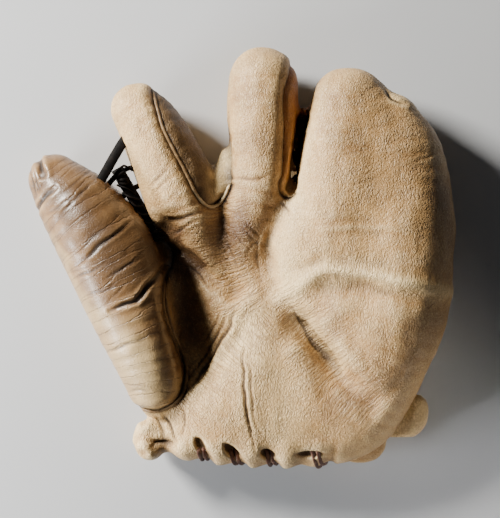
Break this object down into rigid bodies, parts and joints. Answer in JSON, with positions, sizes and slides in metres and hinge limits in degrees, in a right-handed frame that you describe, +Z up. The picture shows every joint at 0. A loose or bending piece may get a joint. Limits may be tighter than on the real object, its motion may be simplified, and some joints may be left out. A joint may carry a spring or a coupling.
{
  "type": "three-finger baseball glove",
  "caption": "Vintage padded leather baseball glove lying palm up, with a stuffed thumb, single finger stalls and a wide one, laced web and heel, and a strap across the back of the wrist.",
  "frame": {"origin": "on the floor, under the middle of the whole glove's box", "axes": "+Z up out of the palm, +Y towards the fingertips, -X towards the thumb"},
  "size_m": [0.2708, 0.2696, 0.0616],
  "materials": {
    "tan_leather": "worn light tan leather with fine grain and soft creases",
    "thumb_leather": "smoother orange-brown leather with a soft shine and cross creases",
    "gusset_leather": "orange-brown side leather",
    "dark_leather": "near-black leather",
    "lace_leather": "dark brown rawhide lace"
  },
  "bodies": {
    "root": {"palm_front": "tan_leather", "back_shell": "tan_leather", "wrist_strap": "tan_leather", "thumb_cover": "thumb_leather", "index_gusset": "gusset_leather", "ring_gusset": "gusset_leather", "thumb_welt": "dark_leather", "index_welt": "dark_leather", "web_strap": "dark_leather", "web_lace_upper": "dark_leather", "web_lace_lower": "dark_leather", "web_knot": "dark_leather", "strap_button": "dark_leather", "heel_lace": "lace_leather"}
  },
  "joints": []
}
